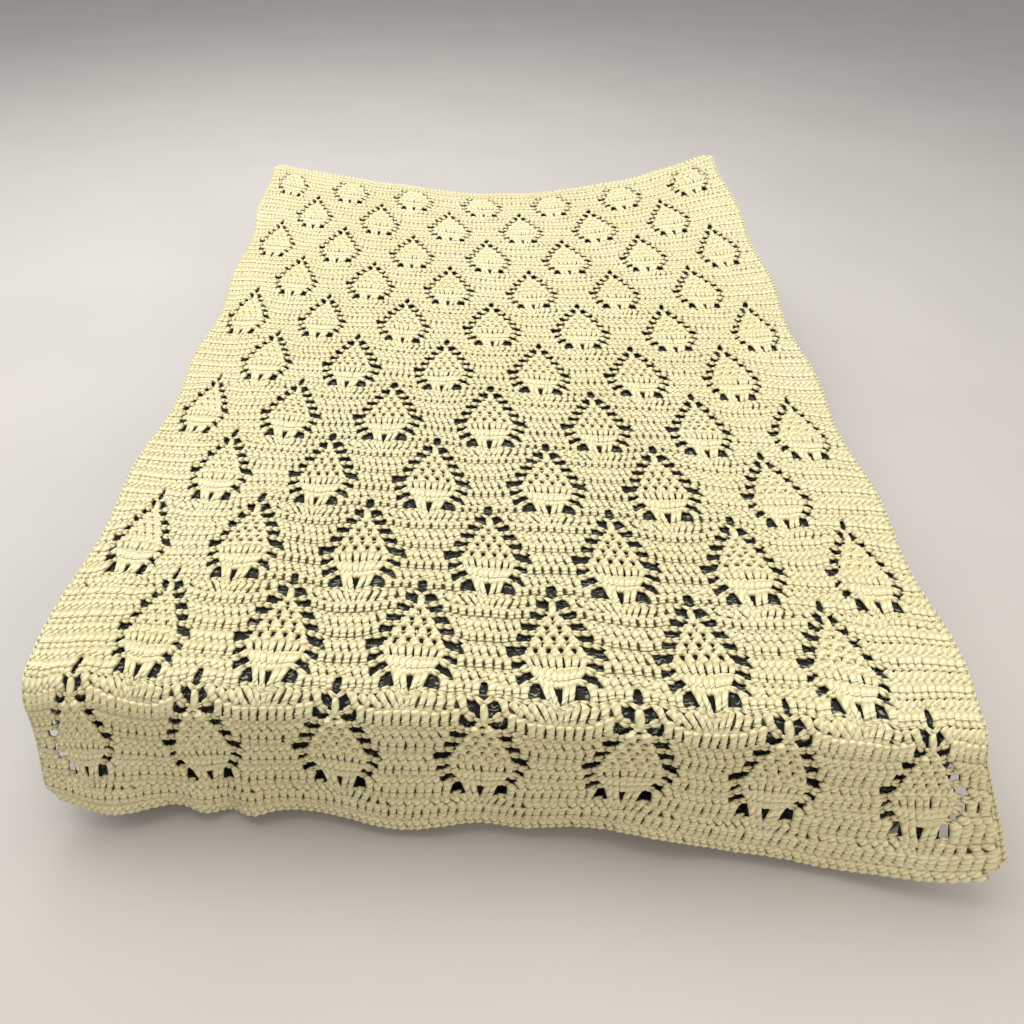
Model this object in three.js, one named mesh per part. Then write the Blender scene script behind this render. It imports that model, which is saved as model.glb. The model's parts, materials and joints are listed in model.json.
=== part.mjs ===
// A one-piece crochet afghan with staggered pineapple motifs, laid on a plain mattress.
// Its near end falls over the mattress's front edge, and its far corners lie on raised ground.
// Millimetres, +Z up, +Y from the front edge to the far end.
import * as THREE from 'three';

// Gauge: rows of double crochet are counted from the hem, stitches from the centre line
const rowHeight = 14.25;
const rowsInAll = 91;
const sideStitch = 55;
const cornerRows = 1.6;
const cornerStitches = 2.6;
const clothThickness = 4;

// Ranks of pineapples, alternately seven and six, each rank half a motif off the last
const rankCount = 11;
const evenRankMotifs = 7;
const oddRankMotifs = 6;
const stitchesPerMotif = 16;
const rowsPerRank = 8;
const firstRankRow = 3;

// How the cloth is laid: width between its sides, its gathered sides and its slight drift
const laidHalfWidth = 398;
const sideGather = 0.07;
const centreLean = 0.03;
const sideDraw = 2;
const scallopDepth = 3.5;
const scallopSpread = 6;
const scallopRow = 7;
const farDrift = -30;
const driftStart = 0.5;

// Far corners, lifted by the uneven mattress: a soft ramp to the left and a hollow curve to the right
const leftRise = 42;
const leftSoftness = 0.15;
const rightRise = 88;
const riseStartRow = 30;

// Front drop over the edge
const layHeight = 164;
const foldRow = 11.5;
const foldRadius = 25;
const dropAngles = [
  { across: -1.0, degrees: 80 },
  { across: -0.5, degrees: 86 },
  { across: 0.0, degrees: 85 },
  { across: 0.5, degrees: 82 },
  { across: 1.0, degrees: 68 },
];
const swingGrowth = 1.5;

// Right side: drawn in at the fold, and flaring towards its front corner
const rightCornerFlare = 36;
const rightFoldPinch = 9;
const pinchRows = 4;
const flareSpread = 8;

// Soft folds of the hanging hem: how far each swings out at the hem, and its half width in stitches
const hemFolds = [
  { stitch: -45, out: 9, halfWidth: 5.0 },
  { stitch: -37, out: -6, halfWidth: 4.0 },
  { stitch: -33.5, out: 6, halfWidth: 2.5 },
  { stitch: -30.5, out: -9, halfWidth: 2.5 },
  { stitch: -27.5, out: 8, halfWidth: 2.5 },
  { stitch: -20, out: -4, halfWidth: 5.0 },
  { stitch: -9, out: 6, halfWidth: 7.0 },
  { stitch: 1, out: -5, halfWidth: 4.0 },
  { stitch: 12, out: -5, halfWidth: 6.0 },
  { stitch: 21, out: 5, halfWidth: 5.0 },
  { stitch: 40, out: -6, halfWidth: 8.0 },
];

// Where the hem hangs shorter than the plain drop, or longer below zero, with half widths in stitches
const hemTrims = [
  { stitch: -56, shorter: 19, halfWidth: 5 },
  { stitch: -44, shorter: 6, halfWidth: 6 },
  { stitch: -30, shorter: -6, halfWidth: 3 },
  { stitch: 18, shorter: 9, halfWidth: 9 },
  { stitch: 40, shorter: -6, halfWidth: 6 },
  { stitch: 57, shorter: 18, halfWidth: 6 },
];

// Lines of corners across one rank: rows above its base, the inner and outer gap corners in stitches
// from a motif's axis, and the rows that an outer corner sits below an inner one
const rankLines = [
  { row: 0.25, inner: 2.3, outer: 4.2, dip: 0.2, gapAbove: true },
  { row: 1.05, inner: 1.9, outer: 3.8, dip: 0.3, gapAbove: false },
  { row: 3.1, inner: 3.6, outer: 6.0, dip: 0.1, gapAbove: true },
  { row: 3.9, inner: 3.7, outer: 5.9, dip: 0.1, gapAbove: false },
  { row: 6.0, inner: 2.6, outer: 5.4, dip: 0, gapAbove: false },
];
const plainLine = { inner: 2.2, outer: 4.0, dip: 0, gapAbove: false };
const wideSideStitch = 50;
const hemLineRows = [0, 0.5, 1.6];
const farLineRows = [89.4, 90.5, 91];
const foldLineRows = [9.55, 10.1, 10.65];

// Mattress: inset of its sides from the cloth's, rounded edges, and clearances under the cloth
const mattressSideInset = 3.3;
const mattressBackInset = 2;
const mattressEdge = 12;
const layClearance = 0.6;
const riseClearance = 2.4;
const edgeClearance = 2.5;
const mattressSpans = 22;
const mattressStationRows = [18, 26, 34, 42, 50, 57, 64, 71, 77, 83];
const edgeTurns = [0, 22.5, 45, 67.5];

const normalStep = 0.05;

function tableAngle(across) {
  const last = dropAngles.length - 1;
  const at = THREE.MathUtils.clamp(across, dropAngles[0].across, dropAngles[last].across);
  const upper = Math.max(1, dropAngles.findIndex((entry) => entry.across >= at));
  const from = dropAngles[upper - 1];
  const to = dropAngles[upper];
  const share = (at - from.across) / (to.across - from.across);
  return THREE.MathUtils.degToRad(THREE.MathUtils.lerp(from.degrees, to.degrees, share));
}

// A column of the hem's tables, each row spread over its half width, summed at a stitch
function hemSum(table, column, stitch) {
  let sum = 0;
  for (const entry of table) {
    const offset = (stitch - entry.stitch) / entry.halfWidth;
    sum += entry[column] * Math.exp(-offset * offset);
  }
  return sum;
}

// Share of the far climb reached at a row: none on the level part, one at the far edge
function climbAt(row) {
  return Math.max(0, (row - riseStartRow) / (rowsInAll - riseStartRow));
}

// Height of the far climb from side to side, before the climb's own share
function riseAt(across) {
  if (across >= 0) {
    return rightRise * across ** 2;
  }
  const soft = (reach) => Math.hypot(reach, leftSoftness) - leftSoftness;
  return (leftRise * soft(across)) / soft(1);
}

// The cloth as it is laid, without its scalloped sides, at the middle of its thickness
function layPoint(stitch, row) {
  const across = stitch / sideStitch;
  const bend = sideGather * (across - across ** 3) + centreLean * (across ** 2 - 1);
  const farness = Math.max(0, (row / rowsInAll - driftStart) / (1 - driftStart));
  const pinch = rightFoldPinch * Math.exp(-(((row - foldRow) / pinchRows) ** 2));
  const rightSide = Math.max(0, across) ** flareSpread;
  const laidX = laidHalfWidth * (across + bend) + farDrift * farness ** 2 - pinch * rightSide;
  const past = (foldRow - row) * rowHeight;
  const foldY = (foldRow - firstRankRow) * rowHeight;
  if (past <= 0) {
    return new THREE.Vector3(laidX, foldY - past, layHeight + riseAt(across) * climbAt(row) ** 2);
  }
  const fullTurn = tableAngle(across);
  const turn = Math.min(past / foldRadius, fullTurn);
  const fullHang = foldRow * rowHeight - foldRadius * fullTurn;
  const down = Math.max(0, past - foldRadius * fullTurn) / fullHang;
  const hang = down * (fullHang - hemSum(hemTrims, 'shorter', stitch));
  const swing = hemSum(hemFolds, 'out', stitch) * down ** swingGrowth;
  const x = laidX + rightCornerFlare * down * rightSide;
  const y = foldY - foldRadius * Math.sin(turn) - hang * Math.cos(fullTurn) - swing * Math.sin(fullTurn);
  const drop = foldRadius * (1 - Math.cos(turn)) + hang * Math.sin(fullTurn) - swing * Math.cos(fullTurn);
  return new THREE.Vector3(x, y, layHeight - drop);
}

// The cloth itself: its sides are drawn in a little, and more beside each outermost motif
function clothPoint(stitch, row) {
  const point = layPoint(stitch, row);
  const across = stitch / sideStitch;
  const wave = Math.cos((2 * Math.PI * (row - scallopRow)) / (2 * rowsPerRank));
  const drawnIn = sideDraw + scallopDepth * wave;
  point.x -= Math.sign(across) * drawnIn * Math.abs(across) ** scallopSpread;
  return point;
}

function surfaceNormal(pointAt, stitch, row) {
  const alongStitch = pointAt(stitch + normalStep, row).sub(pointAt(stitch - normalStep, row));
  const alongRow = pointAt(stitch, row + normalStep).sub(pointAt(stitch, row - normalStep));
  return alongStitch.cross(alongRow).normalize();
}

// The side edge of a row, drawn in where the cloth's corners are rounded
function sideStitchAt(row) {
  const toEnd = Math.min(row, rowsInAll - row) / cornerRows;
  return sideStitch - cornerStitches * Math.max(0, 1 - toEnd) ** 2;
}

// One line of corners across the cloth; corners of the hanging rank also mark each motif's axis
function clothLine(rank, baseRow, shape, row) {
  const count = rank % 2 === 0 ? evenRankMotifs : oddRankMotifs;
  const fine = rank === 0;
  const plain = { row: baseRow + row, gapAfter: false };
  const wideSide = count === oddRankMotifs;
  const side = sideStitchAt(plain.row);
  const corners = [{ ...plain, stitch: -side }];
  if (wideSide) {
    corners.push({ ...plain, stitch: -wideSideStitch });
  }
  for (let motif = 0; motif < count; motif += 1) {
    const axis = (motif - (count - 1) / 2) * stitchesPerMotif;
    const dipped = { ...plain, row: plain.row - shape.dip };
    corners.push({ ...dipped, stitch: axis - shape.outer, gapAfter: shape.gapAbove });
    corners.push({ ...plain, stitch: axis - shape.inner });
    if (fine) {
      corners.push({ ...plain, stitch: axis });
    }
    corners.push({ ...plain, stitch: axis + shape.inner, gapAfter: shape.gapAbove });
    corners.push({ ...dipped, stitch: axis + shape.outer });
    if (fine && motif < count - 1) {
      corners.push({ ...dipped, stitch: axis + stitchesPerMotif / 2 });
    }
  }
  if (wideSide) {
    corners.push({ ...plain, stitch: wideSideStitch });
  }
  corners.push({ ...plain, stitch: side });
  return corners;
}

function clothLines() {
  const lines = hemLineRows.map((row) => clothLine(0, 0, plainLine, row));
  for (let rank = 0; rank < rankCount; rank += 1) {
    const baseRow = firstRankRow + rank * rowsPerRank;
    for (const shape of rankLines) {
      lines.push(clothLine(rank, baseRow, shape, shape.row));
    }
    if (rank === 0) {
      lines.push(...foldLineRows.map((row) => clothLine(rank, 0, plainLine, row)));
    }
  }
  lines.push(...farLineRows.map((row) => clothLine(rankCount - 1, 0, plainLine, row)));
  return lines;
}

// Triangles between two lines, leaving the gaps open; lines of different ranks are zipped together
function stripTriangles(lower, upper, lowerStart, upperStart) {
  const triangles = [];
  const paired = lower.length === upper.length;
  let i = 0;
  let j = 0;
  while (i < lower.length - 1 || j < upper.length - 1) {
    if (paired && i === j && lower[i].gapAfter) {
      i += 1;
      j += 1;
      continue;
    }
    const lowerNext = i < lower.length - 1 ? lower[i + 1].stitch : Infinity;
    const upperNext = j < upper.length - 1 ? upper[j + 1].stitch : Infinity;
    const stepLower = paired ? i === j : lowerNext <= upperNext;
    if (stepLower) {
      triangles.push([lowerStart + i, lowerStart + i + 1, upperStart + j]);
      i += 1;
    } else {
      triangles.push([lowerStart + i, upperStart + j + 1, upperStart + j]);
      j += 1;
    }
  }
  return triangles;
}

// A wall along every free edge, at the hem, sides and gaps, and then both faces of the sheet
function sheetIndex(faceTriangles, cornerCount) {
  const edges = new Set();
  for (const [a, b, c] of faceTriangles) {
    edges.add(`${a} ${b}`).add(`${b} ${c}`).add(`${c} ${a}`);
  }
  const index = [];
  for (const edge of edges) {
    const [from, to] = edge.split(' ').map(Number);
    if (!edges.has(`${to} ${from}`)) {
      index.push(to, from, from + cornerCount, to, from + cornerCount, to + cornerCount);
    }
  }
  for (const [a, b, c] of faceTriangles) {
    index.push(a, b, c, a + cornerCount, c + cornerCount, b + cornerCount);
  }
  return index;
}

function indexedGeometry(points, index) {
  const geometry = new THREE.BufferGeometry();
  geometry.setFromPoints(points);
  geometry.setIndex(index);
  geometry.computeVertexNormals();
  return geometry;
}

function afghanGeometry() {
  const lines = clothLines();
  const corners = lines.flat();
  const offsetPoint = (side) => ({ stitch, row }) => {
    const normal = surfaceNormal(clothPoint, stitch, row);
    return clothPoint(stitch, row).addScaledVector(normal, (side * clothThickness) / 2);
  };
  const points = [...corners.map(offsetPoint(1)), ...corners.map(offsetPoint(-1))];
  const triangles = [];
  let start = 0;
  for (let line = 0; line < lines.length - 1; line += 1) {
    const next = start + lines[line].length;
    triangles.push(...stripTriangles(lines[line], lines[line + 1], start, next));
    start = next;
  }
  return indexedGeometry(points, sheetIndex(triangles, corners.length));
}

// One section of the mattress across its width: up one side, over its top and down the other
function mattressSection({ row, clearance, shift, lower }) {
  const half = sideStitch - mattressSideInset;
  const top = [];
  for (let span = 0; span <= mattressSpans; span += 1) {
    const stitch = half * ((2 * span) / mattressSpans - 1);
    const normal = surfaceNormal(layPoint, stitch, row);
    const point = layPoint(stitch, row).addScaledVector(normal, -clothThickness / 2 - clearance);
    top.push(point.add(new THREE.Vector3(0, shift, -lower)));
  }
  const side = (end, outward) => edgeTurns.map((degrees) => {
    const turn = THREE.MathUtils.degToRad(degrees);
    const out = outward * mattressEdge * Math.cos(turn);
    return new THREE.Vector3(end.x + out, end.y, end.z - mattressEdge * (1 - Math.sin(turn)));
  });
  const left = side(top[0], -1);
  const right = side(top[mattressSpans], 1).reverse();
  const foot = (corner) => new THREE.Vector3(corner.x, corner.y, 0);
  return [foot(left[0]), ...left, ...top, ...right, foot(right[right.length - 1])];
}

// Stations from the rounded front edge, along the top, to the rounded back edge
function mattressStations() {
  const frontRadius = foldRadius - clothThickness / 2 - edgeClearance;
  const backRow = rowsInAll - mattressBackInset;
  const edgeStation = (row, clearance, radius, direction) => (degrees) => {
    const turn = THREE.MathUtils.degToRad(degrees);
    const shift = direction * radius * Math.cos(turn);
    return { row, clearance, shift, lower: radius * (1 - Math.sin(turn)) };
  };
  const clearanceAt = (row) => layClearance + riseClearance * climbAt(row);
  const level = (row) => ({ row, clearance: clearanceAt(row), shift: 0, lower: 0 });
  return [
    ...edgeTurns.map(edgeStation(foldRow, edgeClearance, frontRadius, -1)),
    { ...level(foldRow), clearance: edgeClearance },
    ...mattressStationRows.map(level),
    level(backRow),
    ...edgeTurns.map(edgeStation(backRow, clearanceAt(backRow), mattressEdge, 1)).reverse(),
  ];
}

function mattressGeometry() {
  const sections = mattressStations().map(mattressSection);
  const count = sections[0].length;
  const index = [];
  for (let station = 0; station < sections.length - 1; station += 1) {
    for (let corner = 0; corner < count; corner += 1) {
      const a = station * count + corner;
      const b = station * count + ((corner + 1) % count);
      index.push(a, b, a + count, b, b + count, a + count);
    }
  }
  const cap = (section, start, flip) => {
    const outline = section.map((point) => new THREE.Vector2(point.x, point.z));
    for (const [a, b, c] of THREE.ShapeUtils.triangulateShape(outline, [])) {
      index.push(start + a, start + (flip ? c : b), start + (flip ? b : c));
    }
  };
  const lastStart = (sections.length - 1) * count;
  cap(sections[0], 0, false);
  cap(sections[sections.length - 1], lastStart, true);
  return indexedGeometry(sections.flat(), index);
}

function namedMesh(name, geometry, color, roughness) {
  const material = new THREE.MeshStandardMaterial({ color, roughness, metalness: 0 });
  const mesh = new THREE.Mesh(geometry, material);
  mesh.name = name;
  return mesh;
}

// The origin is on the floor, at the middle of the footprint
function build() {
  const group = new THREE.Group();
  group.add(namedMesh('afghan', afghanGeometry(), 0xdccf9c, 0.95));
  group.add(namedMesh('mattress', mattressGeometry(), 0x23261f, 0.9));
  const box = new THREE.Box3().setFromObject(group);
  const middle = box.getCenter(new THREE.Vector3());
  group.position.set(-middle.x, -middle.y, -box.min.z);
  group.updateMatrixWorld(true);
  return group;
}

export default build();
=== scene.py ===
"""A one-piece pineapple-stitch crochet afghan laid on a plain mattress, its near end over the front edge."""
import json
import math
from collections import namedtuple

import bpy
import numpy as np
from bpy.props import FloatProperty, FloatVectorProperty, IntProperty, PointerProperty
from bpy.types import Operator, Panel, PropertyGroup
from mathutils import Matrix, Vector

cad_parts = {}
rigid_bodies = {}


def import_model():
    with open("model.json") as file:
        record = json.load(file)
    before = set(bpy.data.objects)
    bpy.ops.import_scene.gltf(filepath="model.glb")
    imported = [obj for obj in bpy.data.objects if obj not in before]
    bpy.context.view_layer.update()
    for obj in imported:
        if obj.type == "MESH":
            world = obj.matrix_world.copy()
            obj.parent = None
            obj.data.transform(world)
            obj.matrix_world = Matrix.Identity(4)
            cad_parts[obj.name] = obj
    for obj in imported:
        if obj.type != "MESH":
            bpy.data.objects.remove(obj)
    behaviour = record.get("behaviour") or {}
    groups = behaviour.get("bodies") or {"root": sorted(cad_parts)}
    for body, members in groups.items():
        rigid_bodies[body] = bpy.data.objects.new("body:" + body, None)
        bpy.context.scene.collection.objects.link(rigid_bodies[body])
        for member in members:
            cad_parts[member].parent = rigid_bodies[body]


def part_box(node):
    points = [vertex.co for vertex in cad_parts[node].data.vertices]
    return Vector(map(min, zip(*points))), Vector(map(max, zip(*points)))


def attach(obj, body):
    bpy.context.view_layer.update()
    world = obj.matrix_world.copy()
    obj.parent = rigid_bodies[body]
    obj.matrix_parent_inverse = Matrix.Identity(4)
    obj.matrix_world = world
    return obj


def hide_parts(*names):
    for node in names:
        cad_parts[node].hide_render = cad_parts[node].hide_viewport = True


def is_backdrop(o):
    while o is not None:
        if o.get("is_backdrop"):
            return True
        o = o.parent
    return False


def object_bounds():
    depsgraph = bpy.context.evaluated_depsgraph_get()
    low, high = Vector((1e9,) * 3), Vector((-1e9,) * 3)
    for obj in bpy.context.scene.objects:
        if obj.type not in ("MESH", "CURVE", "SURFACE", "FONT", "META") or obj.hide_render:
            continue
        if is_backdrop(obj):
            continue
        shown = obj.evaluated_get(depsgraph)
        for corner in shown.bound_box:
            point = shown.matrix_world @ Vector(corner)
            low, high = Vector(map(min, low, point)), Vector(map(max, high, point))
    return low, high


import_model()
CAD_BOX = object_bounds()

bl_info = {
    "name": "Crochet afghan on a mattress",
    "version": (1, 0, 0),
    "blender": (4, 5, 0),
    "location": "3D View > Sidebar > Afghan",
    "description": "Makes a pineapple-stitch afghan from its chart and drapes it over a mattress",
    "category": "Object",
}

BODY = "root"
MM = 0.001

# The chart: ranks of pineapples, alternately seven and six, each rank half a motif off the last
RANKS = 11
FIRST_RANK_ROW = 3
ROWS_PER_RANK = 8
MOTIF_STITCHES = 16
WIDE_RANK_REACH = 48
NARROW_RANK_REACH = 40
LAST_RANK_STEPS = 6

# Open chain spaces beside a motif's axis, one for each of its rows, in stitches from the axis
Slot = namedtuple("Slot", "inner outer")
SLOTS = (
    Slot(2.0, 3.3),
    Slot(3.0, 4.5),
    Slot(3.4, 4.95),
    Slot(3.4, 5.45),
    Slot(2.75, 4.3),
    Slot(2.05, 3.65),
    Slot(1.15, 2.65),
    Slot(0.5, 1.75),
)
APEX_HALF = 0.42

# Where the fabric is drawn open: least at the sides, in the hanging hem and at the far end
OPEN_ACROSS = ((-50, -24, 24, 52), (0.0, 1.0, 1.0, 0.0))
OPEN_ALONG = ((6, 14, 36, 72), (0.45, 1.0, 1.0, 0.3))
SLOT_TIGHTENED = 0.32

# How a motif bends the row lines, one after another: rows of rise at whole stitches from its axis
LINE_BENDS = (
    (-0.15, 0.08, 0.26, 0.15, 0.03, 0.0, 0.0),
    (0.5, 0.58, 0.82, 0.52, 0.06, 0.0, 0.0),
    (0.56, 0.6, 0.68, 0.66, 0.22, 0.0, 0.0),
    (0.57, 0.56, 0.5, 0.42, 0.2, 0.05, 0.0),
    (0.5, 0.5, 0.48, 0.42, 0.36, 0.2, 0.0),
    (0.37, 0.37, 0.32, 0.3, 0.3, 0.15, 0.0),
    (0.15, 0.15, 0.22, 0.3, 0.2, 0.05, 0.0),
    (-0.14, -0.02, 0.25, 0.33, 0.15, 0.0, 0.0),
    (-0.2, 0.15, 0.26, 0.15, 0.0, 0.0, 0.0),
    (0.3, 0.2, 0.03, 0.0, 0.0, 0.0, 0.0),
)
BEND_STITCHES = range(len(LINE_BENDS[0]))

# Motif rows: a shell, two fans, and rows of loops that narrow to a single stitch
SHELL_STEP = 0
FAN_STEPS = (1, 2)
FIRST_LOOP_STEP = 3
FIRST_LOOPS = 4
LOOP_STITCHES = 1.45
FAN_POSTS = 8
SHELL_FEET = (-1.05, -0.2, 0.2, 1.05)
SHELL_TOPS = (-1.72, -0.98, 0.98, 1.72)
SHELL_DROP = 0.28
FAN_DROP = 0.25
Fan = namedtuple("Fan", "foot_half top_half width")
FANS = (Fan(1.75, 2.9, 1.06), Fan(2.7, 3.25, 0.98))

# Posts of the row under a shell spread from its axis: how many stitches to each side, and the shares of their
# feet's distance and of their girth that they lose close to it
SHELL_BASE_REACH = 6.0
SHELL_BASE_GATHERED = 0.66
SHELL_BASE_SLIMMED = 0.38

# Plain stretches narrower than this many stitches are left to the chains beside them
SHORTEST_RUN = 0.4

# Soft folds of the hanging hem: how far each swings out at the hem, and its half width in stitches
Fold = namedtuple("Fold", "stitch out half_width")
HEM_FOLDS = (
    Fold(-45, 9 * MM, 5.0),
    Fold(-37, -6 * MM, 4.0),
    Fold(-33.5, 6 * MM, 2.5),
    Fold(-30.5, -9 * MM, 2.5),
    Fold(-27.5, 8 * MM, 2.5),
    Fold(-20, -4 * MM, 5.0),
    Fold(-9, 6 * MM, 7.0),
    Fold(1, -5 * MM, 4.0),
    Fold(12, -5 * MM, 6.0),
    Fold(21, 5 * MM, 5.0),
    Fold(40, -6 * MM, 8.0),
)

# Where the hem hangs shorter or longer
Trim = namedtuple("Trim", "stitch shorter half_width")
HEM_TRIMS = (
    Trim(-56, 19 * MM, 5.0),
    Trim(-44, 6 * MM, 6.0),
    Trim(-30, -6 * MM, 3.0),
    Trim(18, 9 * MM, 9.0),
    Trim(40, -6 * MM, 6.0),
    Trim(57, 18 * MM, 6.0),
)

# Angle of the front drop from side to side
DROP_ACROSS = (-1.0, -0.5, 0.0, 0.5, 1.0)
DROP_DEGREES = (80, 86, 85, 82, 68)

# Slow drifts of a handmade tension: radians per stitch and row, a phase, how far stitches and rows move
Drift = namedtuple("Drift", "per_stitch per_row phase sideways along")
DRIFTS = (
    Drift(0.31, 0.12, 0.4, 0.10, 0.10),
    Drift(-0.17, 0.23, 2.0, 0.10, 0.09),
    Drift(0.09, -0.41, 4.1, 0.07, 0.05),
    Drift(0.52, 0.30, 1.2, 0.05, 0.07),
)

# Kinds of stitch in the chart, and the heights of the shorter ones in rows
POST, BRAID, ARCH, KNOT = range(4)
ARCH_ROWS = 0.72
KNOT_ROWS = 0.6
BANDS = 5
CHART_SEED = 11

# Plain stitches of rows worked from the front and from the back: slant and girth, and what tight fabric adds
Face = namedtuple("Face", "lean leans_more width tightened")
FRONT = Face(-0.17, -0.15, 1.2, 0.24)
BACK = Face(0.03, 0.2, 1.1, 0.32)

# Yarn: plies in a strand, the length in which they turn once round it, and the way that a tube's seam faces
PLIES = 2
PLY_PITCH = 12 * MM
STRAND_FACING = (0.21, 0.13, 0.97)

# The draping surface: its margins past the cloth's own edges and the steps of its grid
MARGIN_STITCHES = 2
MARGIN_ROWS = 1.5
SURFACE_STITCH_STEP = 0.5
SURFACE_ROW_STEP = 0.25

# The ground, a dark sheet whose colour is painted shade: half rows that help it turn over the front edge, how
# far a motif's near-black painted shade inside reaches out, and how much darker its fibres are in places
FOLD_HALF_ROWS = np.arange(6.5, 13)
HOLLOW_MARGIN = 0.3
GROUND_DARKER = 0.6

# The mattress: points across and along its top, turns of its edges in degrees, heights of its walls' rings
TOP_COLUMNS, TOP_ROWS = 61, 91
TOP_TURNS = (18, 36, 54, 72, 90)
FOOT_TURNS = (0, 30, 60, 90)
WALL_SHARES = (0.90, 0.86, 0.82, 0.7, 0.5, 0.3, 0.18, 0.14, 0.10)
SEAM_SHARES = (0.86, 0.14)


class ClothSizes(PropertyGroup):
    """Gauge of the crochet and how the cloth is laid."""

    rows: IntProperty(
        name="Rows", default=91,
        description="Rows of double crochet from hem to far edge")
    side_stitch: IntProperty(
        name="Side stitch", default=55,
        description="Stitches from the centre line to a side")
    row_height: FloatProperty(
        name="Row height", default=14.25 * MM, unit="LENGTH",
        description="Height of one row")
    half_width: FloatProperty(
        name="Half width", default=0.398, unit="LENGTH",
        description="From the centre line to a side, laid flat")
    lay_height: FloatProperty(
        name="Lay height", default=0.164, unit="LENGTH",
        description="Height of the level part of the cloth")
    fold_row: FloatProperty(
        name="Fold row", default=11.5,
        description="Row at which the cloth starts to fall")
    fold_radius: FloatProperty(
        name="Fold radius", default=0.025, unit="LENGTH",
        description="Radius of the turn over the front edge")
    swing_growth: FloatProperty(
        name="Swing growth", default=1.5,
        description="How late the hem's folds open on the way down")
    corner_flare: FloatProperty(
        name="Corner flare", default=0.036, unit="LENGTH",
        description="How far the right hem corner swings out")
    fold_pinch: FloatProperty(
        name="Fold pinch", default=0.009, unit="LENGTH",
        description="How far the right edge is drawn in at the fold")
    pinch_rows: FloatProperty(name="Pinch rows", description="Rows over which that fades", default=4)
    left_rise: FloatProperty(
        name="Left rise", default=0.042, unit="LENGTH",
        description="Lift of the far left corner")
    right_rise: FloatProperty(
        name="Right rise", default=0.088, unit="LENGTH",
        description="Lift of the far right corner")
    rise_start_row: FloatProperty(
        name="Rise start", default=30,
        description="Row from which the far part lifts")
    side_gather: FloatProperty(
        name="Side gather", default=0.07,
        description="Drawing together of the sides")
    centre_lean: FloatProperty(
        name="Centre lean", default=0.03,
        description="Shift of the middle to one side")
    far_drift: FloatProperty(
        name="Far drift", default=-0.03, unit="LENGTH",
        description="Sideways drift of the far end")
    scallop: FloatProperty(
        name="Scallop", default=0.0035, unit="LENGTH",
        description="How far the side edges wave in and out")
    side_draw: FloatProperty(
        name="Side draw", default=0.002, unit="LENGTH",
        description="How far the side edges are drawn in all along")
    corner_rows: FloatProperty(
        name="Corner rows", default=1.6,
        description="Rows over which a corner is rounded")
    corner_stitches: FloatProperty(
        name="Corner stitches", default=2.6,
        description="Stitches that a rounded corner loses")


class YarnLook(PropertyGroup):
    """Size of the stitches, colours of the yarn, and the painted shade between its stitches and plies."""

    strand_radius: FloatProperty(
        name="Strand radius", default=1.85 * MM, unit="LENGTH",
        description="Radius of a strand of yarn")
    # The ground is a thin dark sheet in the middle of the cloth; its colour is painted shade seen between the
    # stitches
    ground_thickness: FloatProperty(
        name="Ground thickness", default=1.0 * MM, unit="LENGTH",
        description="Thickness of the felted ground between stitches")
    colour: FloatVectorProperty(
        name="Yarn", subtype="COLOR", default=(0.742, 0.722, 0.466),
        description="Main colour of the yarn")
    pale_colour: FloatVectorProperty(
        name="Pale yarn", subtype="COLOR", default=(0.815, 0.81, 0.60),
        description="Colour of the palest stitches")
    # Painted shade: the darker colour that fills the grooves between the plies
    ply_shade_colour: FloatVectorProperty(
        name="Grooves", subtype="COLOR", default=(0.60, 0.52, 0.285),
        description="Colour between the plies")
    shade_colour: FloatVectorProperty(
        name="Shaded yarn", subtype="COLOR", default=(0.50, 0.43, 0.22),
        description="Colour low between stitches")
    # Painted shade: the ground sheet's dark colour stands for the shade between posts
    ground_shade_colour: FloatVectorProperty(
        name="Ground", subtype="COLOR", default=(0.07, 0.06, 0.03),
        description="Colour of the ground between posts")
    # Painted shade: near black for the dark seen through a motif's open loops
    hollow_shade_colour: FloatVectorProperty(
        name="Hollow", subtype="COLOR", default=(0.010, 0.009, 0.007),
        description="Colour of the ground in a motif's open loops")


class MattressLook(PropertyGroup):
    """Form and colours of the mattress."""

    side_inset: FloatProperty(
        name="Side inset", default=4.2,
        description="Stitches from its top's edge to the cloth's")
    back_inset: FloatProperty(
        name="Back inset", default=2.8,
        description="Rows from its top's back to the cloth's far edge")
    clearance: FloatProperty(
        name="Clearance", default=2.7 * MM, unit="LENGTH",
        description="Gap under the level cloth")
    rise_clearance: FloatProperty(
        name="Rise clearance", default=2.4 * MM, unit="LENGTH",
        description="Further gap where the cloth climbs")
    top_radius: FloatProperty(
        name="Top edge", default=20.5 * MM, unit="LENGTH",
        description="Radius of the top edge")
    foot_radius: FloatProperty(
        name="Foot edge", default=12 * MM, unit="LENGTH",
        description="Radius of the lower edge")
    corner_radius: FloatProperty(
        name="Corner", default=10 * MM, unit="LENGTH",
        description="Radius of an upright corner at the top")
    wall_bulge: FloatProperty(
        name="Bulge", default=2 * MM, unit="LENGTH",
        description="How far the walls swell")
    seam_depth: FloatProperty(
        name="Seam depth", default=1.8 * MM, unit="LENGTH",
        description="Depth of the sewn seams")
    cover_colour: FloatVectorProperty(
        name="Cover", subtype="COLOR", default=(0.011, 0.012, 0.010),
        description="Dark ground of the cover")
    fleck_colour: FloatVectorProperty(
        name="Flecks", subtype="COLOR", default=(0.30, 0.32, 0.26),
        description="Flecks in the cover")


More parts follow.
